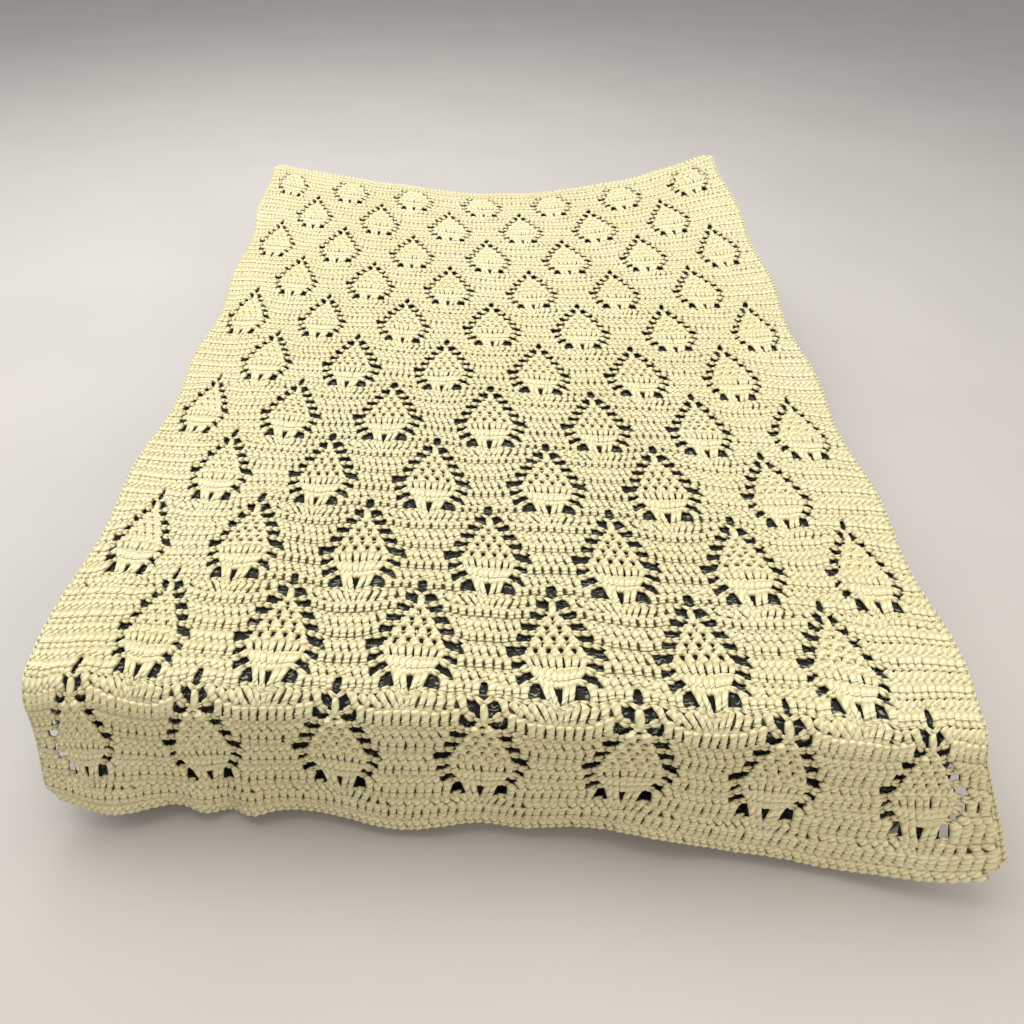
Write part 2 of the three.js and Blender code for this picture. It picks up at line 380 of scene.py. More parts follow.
class StageLook(PropertyGroup):
    """Floor, light and camera."""

    floor_colour: FloatVectorProperty(
        name="Floor", subtype="COLOR", default=(0.50, 0.49, 0.48),
        description="Colour of the floor")
    sky_strength: FloatProperty(name="Sky", description="Strength of the even light", default=0.45)
    key_power: FloatProperty(
        name="Key", default=73.0, unit="POWER",
        description="Power of the light overhead")
    fill_power: FloatProperty(
        name="Fill", default=16.0, unit="POWER",
        description="Power of the light at the front")
    key_colour: FloatVectorProperty(
        name="Key colour", subtype="COLOR", default=(1.0, 0.97, 0.92),
        description="Colour of the light overhead")
    fill_colour: FloatVectorProperty(
        name="Fill colour", subtype="COLOR", default=(1.0, 0.78, 0.57),
        description="Colour of the light at the front")
    lens: FloatProperty(name="Lens", description="Focal length on a 36 mm sensor", default=28.153)


def hump(place, centre, half_width):
    """A smooth hump: 1 at its centre, and fading over its half width."""
    return np.exp(-(((place - centre) / half_width) ** 2))


class Drape:
    """The cloth as it is laid: stitches and rows to points and normals in the part's frame."""

    NORMAL_STEP = 0.05
    FACE_OFFSET = 2 * MM
    BOX_STITCHES, BOX_ROWS = 221, 365
    RISE_SOFTNESS = 0.15
    FLARE_POWER = 8
    SCALLOP_ROW = 7
    SCALLOP_POWER = 6

    def __init__(self, sizes):
        self.sizes = sizes
        self.pitch = sizes.half_width / sizes.side_stitch
        self.shift = np.zeros(3)
        self.shift[:2] = self.place_in_frame()[:2]

    def place_in_frame(self):
        """Shift that centres the cloth on its solid's box."""
        side = self.sizes.side_stitch
        stitch, row = np.meshgrid(
            np.linspace(-side, side, self.BOX_STITCHES), np.linspace(0, self.sizes.rows, self.BOX_ROWS))
        middle = self.cloth(stitch, row)
        lift = self.FACE_OFFSET * self.normal(self.cloth, stitch, row)
        faces = np.concatenate((middle + lift, middle - lift)).reshape(-1, 3)
        low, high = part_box("afghan")
        return np.array((low + high) / 2) - (faces.min(axis=0) + faces.max(axis=0)) / 2

    def laid(self, stitch, row):
        """The cloth without its scalloped sides, at the middle of its thickness."""
        sizes = self.sizes
        stitch, row = np.broadcast_arrays(np.asarray(stitch, float), np.asarray(row, float))
        across = stitch / sizes.side_stitch
        bend = sizes.side_gather * (across - across ** 3) + sizes.centre_lean * (across ** 2 - 1)
        farness = np.maximum(0, 2 * row / sizes.rows - 1)
        x = sizes.half_width * (across + bend) + sizes.far_drift * farness ** 2

        soft = self.RISE_SOFTNESS
        left = (np.hypot(across, soft) - soft) / (math.hypot(1, soft) - soft)
        rise = np.where(across < 0, sizes.left_rise * left, sizes.right_rise * across ** 2)
        rise = self.climb(row) ** 2 * rise

        past = (sizes.fold_row - row) * sizes.row_height
        fold_y = (sizes.fold_row - FIRST_RANK_ROW) * sizes.row_height
        full_turn = np.radians(np.interp(across, DROP_ACROSS, DROP_DEGREES))
        turn = np.minimum(np.maximum(past, 0) / sizes.fold_radius, full_turn)
        hang = np.maximum(0, past - sizes.fold_radius * full_turn)
        full_hang = sizes.fold_row * sizes.row_height - sizes.fold_radius * full_turn
        loose = (hang / full_hang) ** sizes.swing_growth
        flare = sizes.corner_flare * hang / full_hang
        pinch = sizes.fold_pinch * hump(row, sizes.fold_row, sizes.pinch_rows)
        x = x + np.maximum(0, across) ** self.FLARE_POWER * (flare - pinch)
        shorter = sum(trim.shorter * hump(stitch, trim.stitch, trim.half_width) for trim in HEM_TRIMS)
        hang = hang * (1 - shorter / full_hang)
        swing = loose * sum(fold.out * hump(stitch, fold.stitch, fold.half_width) for fold in HEM_FOLDS)
        drop_y = (fold_y - sizes.fold_radius * np.sin(turn) - hang * np.cos(full_turn)
                  - swing * np.sin(full_turn))
        drop_z = sizes.lay_height - (sizes.fold_radius * (1 - np.cos(turn)) + hang * np.sin(full_turn)
                                     - swing * np.cos(full_turn))
        falls = past > 0
        y = np.where(falls, drop_y, fold_y - past)
        height = np.where(falls, drop_z, sizes.lay_height + rise)
        return np.stack((x, y, height), axis=-1) + self.shift

    def climb(self, row):
        """Share of the far climb at a row."""
        start = self.sizes.rise_start_row
        return np.maximum(0, (np.asarray(row, float) - start) / (self.sizes.rows - start))

    def cloth(self, stitch, row):
        """The cloth itself, its side edges drawn in beside each outermost motif."""
        sizes = self.sizes
        stitch, row = np.asarray(stitch, float), np.asarray(row, float)
        waves = [(drift, drift.per_stitch * stitch + drift.per_row * row + drift.phase) for drift in DRIFTS]
        points = self.laid(stitch + sum(drift.sideways * np.sin(wave) for drift, wave in waves),
                           row + sum(drift.along * np.cos(wave) for drift, wave in waves))
        across = stitch / sizes.side_stitch
        wave = np.cos(math.pi * (row - self.SCALLOP_ROW) / ROWS_PER_RANK)
        drawn_in = sizes.side_draw + sizes.scallop * wave
        points[..., 0] -= np.sign(across) * drawn_in * np.abs(across) ** self.SCALLOP_POWER
        return points

    def normal(self, surface, stitch, row):
        """Outward direction of a surface at a stitch and a row."""
        step = self.NORMAL_STEP
        along_stitch = surface(stitch + step, row) - surface(stitch - step, row)
        along_row = surface(stitch, row + step) - surface(stitch, row - step)
        outward = np.cross(along_stitch, along_row)
        return outward / np.linalg.norm(outward, axis=-1, keepdims=True)

    def side(self, row):
        """The side edge of a row, drawn in at the rounded corners."""
        sizes = self.sizes
        to_end = np.minimum(row, sizes.rows - row) / sizes.corner_rows
        return sizes.side_stitch - sizes.corner_stitches * np.maximum(0, 1 - to_end) ** 2


def motif_row(row):
    """Rank of motifs that a row belongs to and its step in the motif, or None where the row is plain."""
    rank, step = divmod(row - FIRST_RANK_ROW, ROWS_PER_RANK)
    plain = rank < 0 or rank >= RANKS or (rank == RANKS - 1 and step >= LAST_RANK_STEPS)
    return None if plain else (rank, step)


def motif_axes(rank):
    """Stitches of the axes of a rank's motifs."""
    reach = NARROW_RANK_REACH if rank % 2 else WIDE_RANK_REACH
    return range(-reach, reach + 1, MOTIF_STITCHES)


def bent_line(line, stitch):
    """Row of a row line at a stitch: the motifs arch it over their fans and dip it at their loops."""
    stitch = np.asarray(stitch, float)
    bent = np.full(stitch.shape, float(line))
    rank, step = divmod(line - FIRST_RANK_ROW, ROWS_PER_RANK)
    for motif_rank, motif_step in ((rank, step), (rank - 1, step + ROWS_PER_RANK)):
        if not 0 <= motif_rank < RANKS or motif_step >= len(LINE_BENDS):
            continue
        if motif_rank == RANKS - 1 and motif_step > LAST_RANK_STEPS:
            continue
        for axis in motif_axes(motif_rank):
            bent += np.interp(np.abs(stitch - axis), BEND_STITCHES, LINE_BENDS[motif_step])
    return bent


def tightness(stitch, row):
    """How dense the fabric is at a place: 0 in the middle of the cloth, 1 where it is drawn in most."""
    return 1 - np.interp(stitch, *OPEN_ACROSS) * np.interp(row, *OPEN_ALONG)


def row_gaps(row):
    """Open spaces of a row, as pairs of stitches."""
    found = motif_row(row)
    gaps = []
    if found:
        rank, step = found
        slot = SLOTS[step]
        for axis in motif_axes(rank):
            for hand in (-1, 1):
                tight = tightness(axis + hand * slot.outer, row)
                wide = (slot.outer - slot.inner) * (1 - SLOT_TIGHTENED * tight)
                ends = axis + hand * slot.inner, axis + hand * (slot.inner + wide)
                gaps.append((min(ends), max(ends)))
        if step == SHELL_STEP and rank > 0:
            gaps += [(axis - APEX_HALF, axis + APEX_HALF) for axis in motif_axes(rank - 1)]
    return sorted(gaps)


def row_cores(row):
    """Insides of a row's motifs: axis, half width and step."""
    found = motif_row(row)
    if not found:
        return []
    rank, step = found
    return [(axis, SLOTS[step].inner, step) for axis in motif_axes(rank)]


def shell_base(row, stitch):
    """How a post under a shell spreads: the way its foot is drawn to the axis, and how near it is, 0 to 1."""
    above = motif_row(row + 1)
    if not above or above[1] != SHELL_STEP:
        return 0.0, 0.0
    offset = min((axis - stitch for axis in motif_axes(above[0])), key=abs)
    nearness = max(0.0, 1 - abs(offset) / SHELL_BASE_REACH)
    return SHELL_BASE_GATHERED * offset * nearness, nearness


def plain_runs(row, side):
    """Stretches of plain double crochet across a row."""
    taken = row_gaps(row) + [(axis - half, axis + half) for axis, half, _ in row_cores(row)]
    runs = []
    start = -side
    for low, high in sorted(taken):
        if low - start > SHORTEST_RUN:
            runs.append((start, low))
        start = max(start, high)
    if side - start > SHORTEST_RUN:
        runs.append((start, side))
    return runs


class StitchChart:
    """Every stitch of the cloth on its flat chart, sorted into bands of rows."""

    # Places are in stitches and rows, girths in shares of a plain strand's, and heights in metres
    POST_PITCH = 0.97
    SIDE_INSET = 0.15
    FOOT_GAP, FOOT_GAP_CLOSED = 0.26, 1.2
    RIDGE_GAP, RIDGE_GAP_OPENED = 0.1, 0.1
    SHELL_WIDTH, FAN_TIGHTENED = 0.95, 0.16
    LOOP_FOOT, LOOP_TOP, LOOP_TURN_SPREAD = 0.08, 0.1, 0.06
    LOOP_FILLED, FILLING_WIDTH = 0.06, 0.85
    KNOT_DROP, KNOT_RISE, KNOT_WIDTH, TIP_WIDTH = 0.12, 0.36, 1.4, 1.1
    FLATTENED = 0.72
    WANDER, TWIST_SPREAD, GIRTH_SPREAD = 0.06, 0.12, 0.05
    LIFT = 0.6 * MM
    RIDGE_RAISED, BRAID_RAISED, CHAIN_RAISED = 1.9 * MM, 0.9 * MM, 0.3 * MM
    RIDGE_GIRTH, BRAID_GIRTH, CHAIN_GIRTH, WIDE_CHAIN_GIRTH = 0.62, 0.5, 0.94, 1.14
    WIDE_CHAIN_STEPS, CHAIN_TIGHTENED = (2, 3), 0.2
    LINK_THICKEST, LINK_TILT_SPREAD, LINK_TURN_SPREAD = 0.8, 0.02, 0.05
    BARE_INSET = 0.25
    EDGE_STEP, EDGE_OUT, EDGE_GIRTH = 0.5, 0.05, 0.85

    def __init__(self, drape):
        self.drape = drape
        self.random = np.random.default_rng(CHART_SEED)
        self.bands = [{"place": [], "spin": [], "size": [], "kind": [], "tone": []} for _ in range(BANDS)]
        rows = drape.sizes.rows
        for row in range(rows):
            self.add_row(row)
        for line in range(rows + 1):
            self.add_braid(line)
        self.add_side_edges()

    def flat(self, stitch, row):
        """A place on the flat chart, in metres."""
        return np.array((stitch * self.drape.pitch, row * self.drape.sizes.row_height))

    def add(self, kind, row, place, spin, size):
        """One stitch in the band of its row, with a tone of its own."""
        band = self.bands[min(BANDS - 1, int(max(0, row) * BANDS / self.drape.sizes.rows))]
        band["kind"].append(kind)
        band["place"].append(place)
        band["spin"].append(spin)
        band["size"].append(size)
        band["tone"].append(self.random.random())

    def add_post(self, row, foot, top, width, kind=POST):
        """One stitch's post, from its foot to its top, both given as stitch and row."""
        wander = self.random.normal(0, self.WANDER, 2)
        start = self.flat(foot[0] + wander[0], foot[1])
        end = self.flat(top[0] + wander[1], top[1])
        run = end - start
        length = np.hypot(*run)
        girth = width * self.random.normal(1, self.GIRTH_SPREAD)
        twist = self.random.normal(0, self.TWIST_SPREAD)
        turn = -math.atan2(run[0], run[1])
        self.add(kind, row, (*start, self.LIFT), (0, twist, turn), (girth, length, self.FLATTENED * girth))

    def add_row(self, row):
        """One row: its plain double crochet, then the shell, fan or loops inside each of its motifs."""
        for low, high in plain_runs(row, float(self.drape.side(row + 0.5)) - self.SIDE_INSET):
            count = max(1, round((high - low) / self.POST_PITCH))
            for stitch in low + (np.arange(count) + 0.5) * (high - low) / count:
                self.add_plain(row, stitch)
        for axis, _, step in row_cores(row):
            if step == SHELL_STEP:
                self.add_fan(row, axis, SHELL_FEET, SHELL_TOPS, self.SHELL_WIDTH, SHELL_DROP)
            elif step in FAN_STEPS:
                fan = FANS[step - FAN_STEPS[0]]
                feet = np.linspace(-fan.foot_half, fan.foot_half, FAN_POSTS)
                tops = np.linspace(-fan.top_half, fan.top_half, FAN_POSTS)
                self.add_fan(row, axis, feet, tops, fan.width, FAN_DROP)
            else:
                self.add_loops(row, axis, FIRST_LOOPS - (step - FIRST_LOOP_STEP))

    def add_plain(self, row, stitch):
        """One plain double crochet."""
        back = row % 2
        face = BACK if back else FRONT
        tight = tightness(stitch, row)
        drawn, nearness = shell_base(row, stitch)
        slant = (face.lean + face.leans_more * tight) * (1 - nearness)
        foot_gap = self.FOOT_GAP * (1 - self.FOOT_GAP_CLOSED * tight) if back else 0
        top_gap = 0 if back else self.RIDGE_GAP + self.RIDGE_GAP_OPENED * tight
        foot = (stitch - slant + drawn, float(bent_line(row, stitch)) + foot_gap)
        top = (stitch + slant, float(bent_line(row + 1, stitch)) - top_gap)
        width = face.width * (1 + face.tightened * tight) * (1 - SHELL_BASE_SLIMMED * nearness)
        self.add_post(row, foot, top, width)

    def add_fan(self, row, axis, feet, tops, width, drop):
        """Posts that spread from a motif's axis."""
        width *= 1 + self.FAN_TIGHTENED * tightness(axis, row)
        for foot, top in zip(feet, tops):
            start = (axis + foot, float(bent_line(row, axis + foot)) - drop)
            end = (axis + top, float(bent_line(row + 1, axis + top)))
            self.add_post(row, start, end, width)

    def add_loops(self, row, axis, count):
        """A row of chain loops, each with a short stitch at its feet."""
        feet = (np.arange(count + 1) - count / 2) * LOOP_STITCHES
        for foot in feet:
            base = float(bent_line(row, axis + foot))
            top = base + self.KNOT_RISE if count else float(bent_line(row + 1, axis))
            width = self.KNOT_WIDTH if count else self.TIP_WIDTH
            self.add_post(row, (axis + foot, base - self.KNOT_DROP), (axis + foot, top), width, KNOT)
        for middle in (feet[:-1] + feet[1:]) / 2:
            base = float(bent_line(row, axis + middle)) + self.LOOP_FOOT
            tall = float(bent_line(row + 1, axis + middle)) - self.LOOP_TOP - base
            place = (*self.flat(axis + middle, base), self.LIFT)
            spin = (0, 0, self.random.normal(0, self.LOOP_TURN_SPREAD))
            self.add(ARCH, row, place, spin, (1, tall * self.drape.sizes.row_height, 1))
            share = self.LOOP_FILLED + (1 - self.LOOP_FILLED) * tightness(axis, row)
            ends = (axis + middle, base), (axis + middle, base + share * tall)
            self.add_post(row, *ends, self.FILLING_WIDTH, KNOT)

    def add_braid(self, line):
        """The chain of loops along the top of a row."""
        side = float(self.drape.side(line))
        count = round(2 * side)
        found = motif_row(line - 1)
        bare = []
        if found and found[1] != FAN_STEPS[-1]:
            half = self.bare_half(found[1])
            bare = [(axis - half, axis + half) for axis in motif_axes(found[0])]
        above = motif_row(line)
        chain_girth = self.CHAIN_GIRTH
        if above and above[1] in self.WIDE_CHAIN_STEPS:
            chain_girth = self.WIDE_CHAIN_GIRTH
        spaces = row_gaps(line - 1) + row_gaps(line)
        knots = np.linspace(-side, side, count + 1)
        rows = bent_line(line, knots)
        for start, end, low, high in zip(knots[:-1], knots[1:], rows[:-1], rows[1:]):
            middle = (start + end) / 2
            if any(left < middle < right for left, right in bare):
                continue
            if any(left < middle < right for left, right in spaces):
                raised = self.CHAIN_RAISED
                girth = chain_girth * (1 + self.CHAIN_TIGHTENED * tightness(middle, line))
            elif line % 2:
                raised, girth = self.RIDGE_RAISED, self.RIDGE_GIRTH
            else:
                raised, girth = self.BRAID_RAISED, self.BRAID_GIRTH
            self.add_link(line, (start, low), (end, high), raised, girth)

    def bare_half(self, step):
        """How far from a motif's axis the line above a row has no chain of its own."""
        if step < FAN_STEPS[-1]:
            return SLOTS[step].inner - self.BARE_INSET
        loops = FIRST_LOOPS - (step + 1 - FIRST_LOOP_STEP)
        return max(0, loops) * LOOP_STITCHES / 2

    def add_link(self, row, start, end, raised, heavy):
        """One link of a chain between two places on the chart."""
        first = self.flat(*start)
        run = self.flat(*end) - first
        tilt = self.random.normal(0, self.LINK_TILT_SPREAD)
        girth = heavy * self.random.normal(1, self.GIRTH_SPREAD)
        place = (*(first + run / 2), raised)
        turn = math.atan2(run[1], run[0]) + self.random.normal(0, self.LINK_TURN_SPREAD)
        size = (np.hypot(*run), girth, min(girth, self.LINK_THICKEST))
        self.add(BRAID, row, place, (tilt, 0, turn), size)

    def add_side_edges(self):
        """Turning chains up both sides."""
        rows = np.arange(0, self.drape.sizes.rows + self.EDGE_STEP / 2, self.EDGE_STEP)
        for hand in (-1, 1):
            stitches = hand * (self.drape.side(rows) + self.EDGE_OUT)
            for start, end in zip(zip(stitches[:-1], rows[:-1]), zip(stitches[1:], rows[1:])):
                self.add_link(start[1], start, end, self.LIFT, self.EDGE_GIRTH)


def mesh_from(name, points, faces):
    """A mesh from points and faces."""
    mesh = bpy.data.meshes.new(name)
    mesh.from_pydata([tuple(p) for p in points], [], [tuple(f) for f in faces])
    mesh.update()
    return mesh


def place_object(name, mesh):
    """An object at the origin that holds a mesh."""
    piece = bpy.data.objects.new(name, mesh)
    bpy.context.scene.collection.objects.link(piece)
    return piece


def tube(sides, path, start):
    """A strand with closed ends: its points, its faces numbered from a start, and its corners' ply places."""
    path = np.asarray(path, float)
    centre, radius = path[:, :3], path[:, 3]
    along = np.gradient(centre, axis=0)
    along /= np.linalg.norm(along, axis=1, keepdims=True)
    across = np.cross(along, STRAND_FACING)
    across /= np.linalg.norm(across, axis=1, keepdims=True)
    upward = np.cross(across, along)
    steps = np.linalg.norm(np.diff(centre, axis=0), axis=1)
    reach = np.concatenate(((0,), np.cumsum(steps))) / PLY_PITCH
    rings = len(path) - 2
    points = [centre[0]]
    for ring in range(1, rings + 1):
        for side in range(sides):
            angle = 2 * math.pi * side / sides
            way = math.cos(angle) * across[ring] + math.sin(angle) * upward[ring]
            points.append(centre[ring] + radius[ring] * way)
    points.append(centre[-1])
    last = start + len(points) - 1

    def corner(ring, side):
        return start + 1 + ring * sides + side % sides

    faces, places = [], []
    for side in range(sides):
        after = side + 1
        near, far = side / sides, after / sides
        faces.append((start, corner(0, after), corner(0, side)))
        places += [(reach[0], (near + far) / 2), (reach[1], far), (reach[1], near)]
        for ring in range(rings - 1):
            faces.append((corner(ring, side), corner(ring, after),
                          corner(ring + 1, after), corner(ring + 1, side)))
            low, high = reach[ring + 1], reach[ring + 2]
            places += [(low, near), (low, far), (high, far), (high, near)]
        faces.append((corner(rings - 1, side), corner(rings - 1, after), last))
        places += [(reach[-2], near), (reach[-2], far), (reach[-1], (near + far) / 2)]
    return points, faces, places


def strand_mesh(name, strands, size):
    """Tubes along short paths of points with a radius, all divided by the stitch's own size."""
    points, faces, places = [], [], []
    for sides, path in strands:
        tube_points, tube_faces, tube_places = tube(sides, path, len(points))
        points += tube_points
        faces += tube_faces
        places += tube_places
    mesh = mesh_from(name, np.asarray(points) / size, faces)
    layer = mesh.uv_layers.new(name="strand")
    layer.data.foreach_set("uv", np.asarray(places, np.float32).ravel())
    return mesh


def strand(yarn, rows):
    """Points of a strand from rows of x, y and z in millimetres and a swell of the yarn."""
    return [(x * MM, y * MM, z * MM, swell * yarn.strand_radius) for x, y, z, swell in rows]


def post_mesh(yarn, tall):
    """A double crochet's post: a plump upright with the yarn's wrap across it, one unit tall."""
    top = tall / MM
    upright = strand(yarn, (
        (0.0, -0.1 * top, -0.5, 0), (0.3, 0.05 * top, 0.0, 1.75), (0.1, 0.38 * top, 0.3, 1.22),
        (-0.1, 0.68 * top, 0.3, 1.6), (-0.3, 0.93 * top, 0.0, 1.9), (0.0, 1.08 * top, -0.6, 0)))
    wrap = strand(yarn, (
        (-3.0, 0.24 * top, 0.2, 0), (-1.2, 0.31 * top, 2.7, 0.62), (1.2, 0.43 * top, 2.8, 0.62),
        (3.0, 0.52 * top, 0.3, 0)))
    return strand_mesh("post", [(6, upright), (4, wrap)], (1, tall, 1))


def knot_mesh(yarn, tall):
    """A short stitch: one plump strand, one unit tall."""
    top = tall / MM
    path = strand(yarn, (
        (0.0, -0.15 * top, 0.0, 0), (0.3, 0.1 * top, 0.3, 1.7), (0.0, 0.5 * top, 0.6, 1.95),
        (-0.3, 0.9 * top, 0.3, 1.7), (0.0, 1.15 * top, 0.0, 0)))
    return strand_mesh("knot", [(5, path)], (1, tall, 1))


def braid_mesh(yarn, wide):
    """One link of the chain along a row's top: two strands that open like a V, one unit wide."""
    long = wide / MM
    sides = [strand(yarn, (
        (-0.66 * long, 0.2 * hand, -0.5, 0), (-0.24 * long, 1.1 * hand, 0.4, 1.02),
        (0.32 * long, 1.9 * hand, 0.3, 1.08), (0.72 * long, 1.6 * hand, -0.7, 0))) for hand in (-1, 1)]
    return strand_mesh("braid", [(4, side) for side in sides], (wide, 1, 1))


def arch_mesh(yarn, wide, tall):
    """A chain loop: short links that overlap along an arch."""
    links = 4
    heights = (-0.2 * MM, 0.4 * MM)
    strands = []
    for link in range(links):
        path = []
        for share, swell in ((-0.3, 0), (0.22, 1.6), (0.78, 1.7), (1.3, 0)):
            turn = math.pi * (link + share) / links
            path.append((-wide / 2 * math.cos(turn), tall * math.sin(turn),
                         heights[link % 2], yarn.strand_radius * swell))
        strands.append((4, path))
    return strand_mesh("arch", strands, (1, tall, 1))


def grid_faces(deep, across):
    """The cells of a grid of points, by row and column, each with its four corners."""
    index = np.arange(deep * across).reshape(deep, across)
    return np.stack((index[:-1, :-1], index[:-1, 1:], index[1:, 1:], index[1:, :-1]), axis=-1)


def drape_surface(drape):
    """A fine grid over the cloth, with its chart place as a UV map and its normals as an attribute."""
    sizes = drape.sizes
    half = sizes.side_stitch + MARGIN_STITCHES
    stitches = np.arange(-half, half + SURFACE_STITCH_STEP / 2, SURFACE_STITCH_STEP)
    rows = np.arange(-MARGIN_ROWS, sizes.rows + MARGIN_ROWS + SURFACE_ROW_STEP / 2, SURFACE_ROW_STEP)
    stitch, row = np.meshgrid(stitches, rows)
    points = drape.cloth(stitch, row).reshape(-1, 3)
    outward = drape.normal(drape.cloth, stitch, row).reshape(-1, 3)
    faces = grid_faces(len(rows), len(stitches)).reshape(-1, 4)
    mesh = mesh_from("drape", points, faces)
    place = np.stack(((stitch / (2 * half) + 0.5).ravel(),
                      ((row + MARGIN_ROWS) / (sizes.rows + 2 * MARGIN_ROWS)).ravel()), axis=1)
    chart = mesh.uv_layers.new(name="chart")
    chart.data.foreach_set("uv", place[faces.ravel()].astype(np.float32).ravel())
    normals = mesh.attributes.new("outward", "FLOAT_VECTOR", "POINT")
    normals.data.foreach_set("vector", outward.astype(np.float32).ravel())
    return place_object("drape", mesh)


def new_node(tree, kind, **settings):
    """A node of a kind, with its settings."""
    node = tree.nodes.new(kind)
    for name, value in settings.items():
        setattr(node, name, value)
    return node


def stitch_tree():
    """Node tree: puts a stitch on every chart point, then bends the flat chart onto the drape."""
    tree = bpy.data.node_groups.new("Stitches on the drape", "GeometryNodeTree")
    socket = tree.interface.new_socket
    socket("Chart", in_out="INPUT", socket_type="NodeSocketGeometry")
    for name in ("Post", "Braid", "Arch", "Knot", "Drape"):
        socket(name, in_out="INPUT", socket_type="NodeSocketObject")
    socket("Chart scale", in_out="INPUT", socket_type="NodeSocketVector")
    socket("Chart start", in_out="INPUT", socket_type="NodeSocketVector")
    socket("Yarn", in_out="INPUT", socket_type="NodeSocketMaterial")
    socket("Cloth", in_out="OUTPUT", socket_type="NodeSocketGeometry")
    link = tree.links.new
    given = new_node(tree, "NodeGroupInput").outputs
    joined = new_node(tree, "GeometryNodeJoinGeometry")

    def attribute(name, kind):
        node = new_node(tree, "GeometryNodeInputNamedAttribute", data_type=kind)
        node.inputs["Name"].default_value = name
        return node.outputs["Attribute"]

    spin = new_node(tree, "FunctionNodeEulerToRotation")
    link(attribute("spin", "FLOAT_VECTOR"), spin.inputs["Euler"])
    for index, name in ((POST, "Post"), (BRAID, "Braid"), (ARCH, "Arch"), (KNOT, "Knot")):
        shape = new_node(tree, "GeometryNodeObjectInfo")
        link(given[name], shape.inputs["Object"])
        chosen = new_node(tree, "FunctionNodeCompare", data_type="INT", operation="EQUAL")
        link(attribute("kind", "INT"), chosen.inputs["A"])
        chosen.inputs["B"].default_value = index
        spread = new_node(tree, "GeometryNodeInstanceOnPoints")
        link(given["Chart"], spread.inputs["Points"])
        link(chosen.outputs["Result"], spread.inputs["Selection"])
        link(shape.outputs["Geometry"], spread.inputs["Instance"])
        link(spin.outputs["Rotation"], spread.inputs["Rotation"])
        link(attribute("size", "FLOAT_VECTOR"), spread.inputs["Scale"])
        link(spread.outputs["Instances"], joined.inputs["Geometry"])
    realized = new_node(tree, "GeometryNodeRealizeInstances")
    link(joined.outputs["Geometry"], realized.inputs["Geometry"])

    position = new_node(tree, "GeometryNodeInputPosition").outputs["Position"]
    split = new_node(tree, "ShaderNodeSeparateXYZ")
    link(position, split.inputs["Vector"])
    chart_place = new_node(tree, "ShaderNodeVectorMath", operation="MULTIPLY_ADD")
    link(position, chart_place.inputs[0])
    link(given["Chart scale"], chart_place.inputs[1])
    link(given["Chart start"], chart_place.inputs[2])

    keep_height = new_node(tree, "GeometryNodeStoreNamedAttribute", data_type="FLOAT", domain="POINT")
    keep_height.inputs["Name"].default_value = "height"
    link(realized.outputs["Geometry"], keep_height.inputs["Geometry"])
    link(split.outputs["Z"], keep_height.inputs["Value"])
    keep_place = new_node(tree, "GeometryNodeStoreNamedAttribute", data_type="FLOAT2", domain="CORNER")
    keep_place.inputs["Name"].default_value = "OFBake"
    link(keep_height.outputs["Geometry"], keep_place.inputs["Geometry"])
    link(chart_place.outputs["Vector"], keep_place.inputs["Value"])

    drape = new_node(tree, "GeometryNodeObjectInfo")
    link(given["Drape"], drape.inputs["Object"])
    sampled = []
    for value in (new_node(tree, "GeometryNodeInputPosition").outputs["Position"],
                  attribute("outward", "FLOAT_VECTOR")):
        sample = new_node(tree, "GeometryNodeSampleUVSurface", data_type="FLOAT_VECTOR")
        link(drape.outputs["Geometry"], sample.inputs["Mesh"])
        link(value, sample.inputs["Value"])
        link(attribute("chart", "FLOAT_VECTOR"), sample.inputs["UV Map"])
        link(chart_place.outputs["Vector"], sample.inputs["Sample UV"])
        sampled.append(sample.outputs["Value"])
    lifted = new_node(tree, "ShaderNodeVectorMath", operation="SCALE")
    link(sampled[1], lifted.inputs[0])
    link(split.outputs["Z"], lifted.inputs["Scale"])
    bent = new_node(tree, "ShaderNodeVectorMath", operation="ADD")
    link(sampled[0], bent.inputs[0])
    link(lifted.outputs["Vector"], bent.inputs[1])
    laid = new_node(tree, "GeometryNodeSetPosition")
    link(keep_place.outputs["Geometry"], laid.inputs["Geometry"])
    link(bent.outputs["Vector"], laid.inputs["Position"])
    smooth = new_node(tree, "GeometryNodeSetShadeSmooth")
    link(laid.outputs["Geometry"], smooth.inputs["Geometry"])
    dyed = new_node(tree, "GeometryNodeSetMaterial")
    link(smooth.outputs["Geometry"], dyed.inputs["Geometry"])
    link(given["Yarn"], dyed.inputs["Material"])
    link(dyed.outputs["Geometry"], new_node(tree, "NodeGroupOutput").inputs["Cloth"])
    return tree


def chart_object(name, band):
    """The chart points of one band of rows, with what each stitch needs as attributes."""
    mesh = bpy.data.meshes.new(name)
    mesh.vertices.add(len(band["place"]))
    mesh.vertices.foreach_set("co", np.asarray(band["place"], np.float32).ravel())
    for key, kind, field in (("spin", "FLOAT_VECTOR", "vector"), ("size", "FLOAT_VECTOR", "vector"),
                             ("kind", "INT", "value"), ("tone", "FLOAT", "value")):
        values = np.asarray(band[key], np.int32 if kind == "INT" else np.float32)
        mesh.attributes.new(key, kind, "POINT").data.foreach_set(field, values.ravel())
    return place_object(name, mesh)


def evaluated_mesh(piece):
    """What a piece's modifiers make of it, as a plain mesh."""
    graph = bpy.context.evaluated_depsgraph_get()
    return bpy.data.meshes.new_from_object(
        piece.evaluated_get(graph), preserve_all_data_layers=True, depsgraph=graph)


